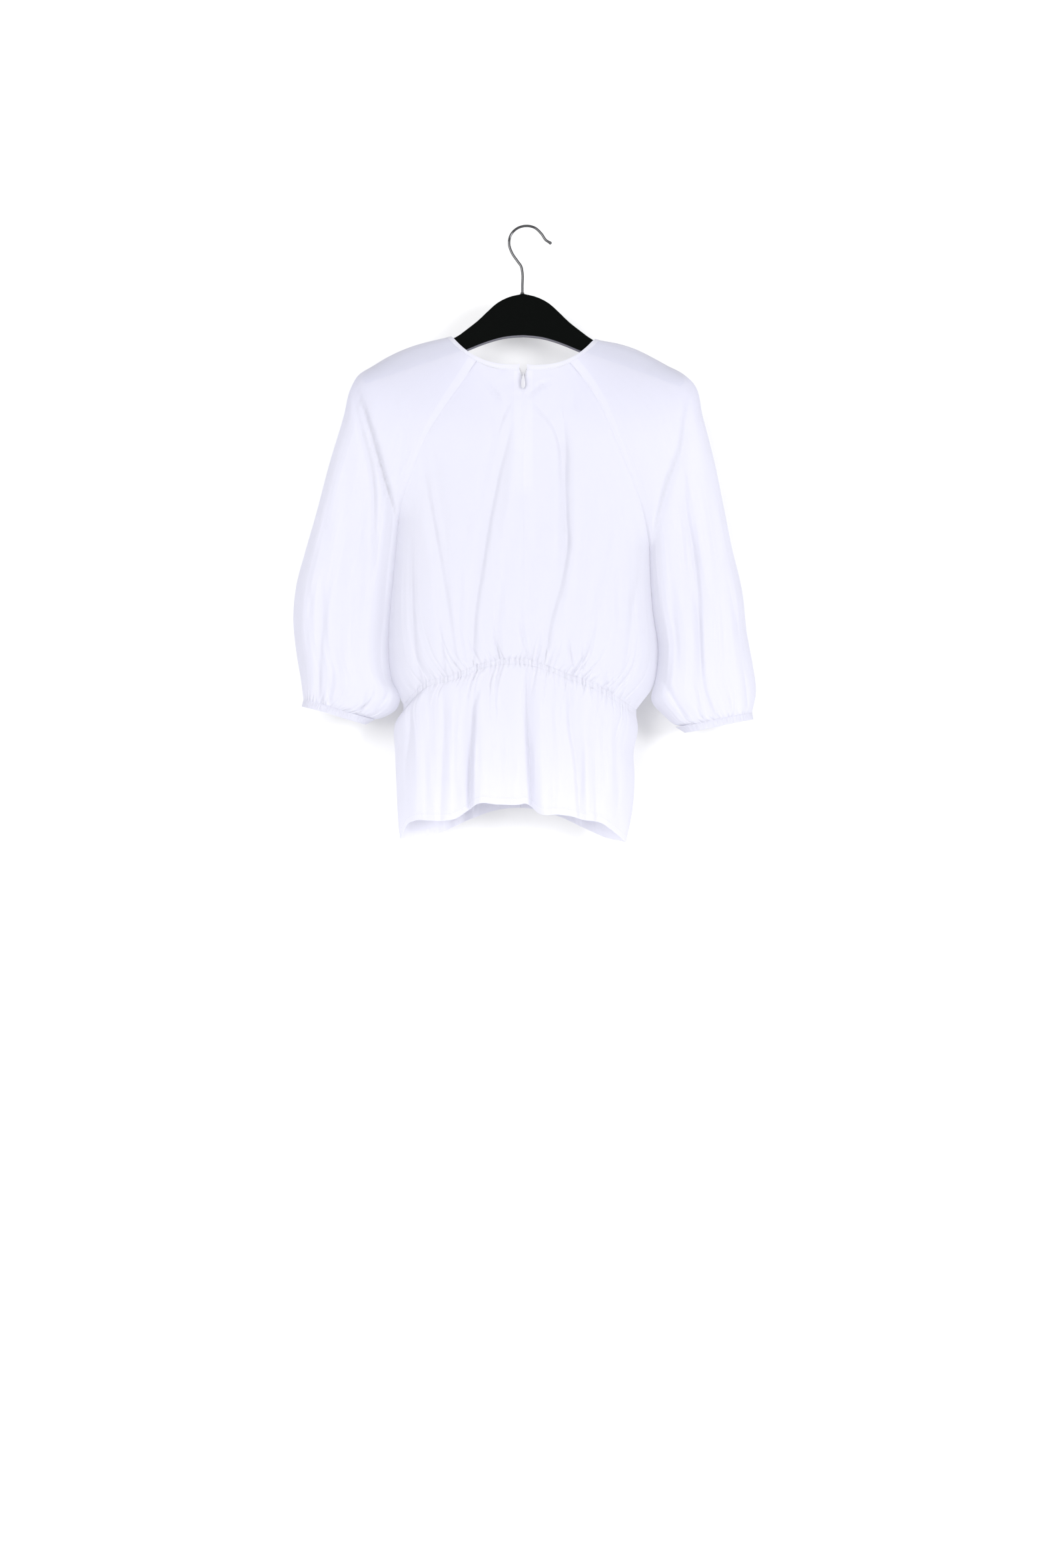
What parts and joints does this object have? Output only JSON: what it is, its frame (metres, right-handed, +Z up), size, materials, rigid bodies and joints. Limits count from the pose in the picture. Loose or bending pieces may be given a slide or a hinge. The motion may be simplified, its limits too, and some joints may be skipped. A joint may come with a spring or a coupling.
{
  "type": "peplum top on a hanger",
  "caption": "Raglan blouse with balloon sleeves, gathered waist and short peplum, hung by a flat contoured hanger with a wire hook.",
  "frame": {"origin": "the inner top of the hook's bend, where a rail carries the hanger", "axes": "+Z up; -Y is the garment's back, the face with the zip; +X is to the right when looking at that back"},
  "size_m": [0.5479, 0.0837, 0.7322],
  "materials": {
    "cloth": "matt white cotton poplin, slightly see-through",
    "tape": "matt white woven tape",
    "zip_puller": "smooth white lacquer",
    "hanger_black": "satin black",
    "hook_chrome": "polished"
  },
  "bodies": {
    "top": {"bodice_back_left": "cloth", "bodice_back_right": "cloth", "bodice_front": "cloth", "sleeve_left_back": "cloth", "sleeve_left_front": "cloth", "sleeve_right_back": "cloth", "sleeve_right_front": "cloth", "neck_binding": "cloth", "waist_casing_back": "cloth", "waist_casing_front": "cloth", "peplum_back": "cloth", "peplum_front": "cloth", "cuff_left": "cloth", "cuff_right": "cloth", "zip_tape": "tape", "zip_slider": "zip_puller", "hanger": "hanger_black", "hook": "hook_chrome"},
    "pull_tab": {"zip_pull_tab": "zip_puller"}
  },
  "joints": [
    {"name": "pull_tab_hinge", "type": "hinge", "parent": "top", "child": "pull_tab", "pos_m": [0, -0.01634, -0.1765], "axis": [-1, 0, 0], "range_deg": [0, 170]}
  ]
}
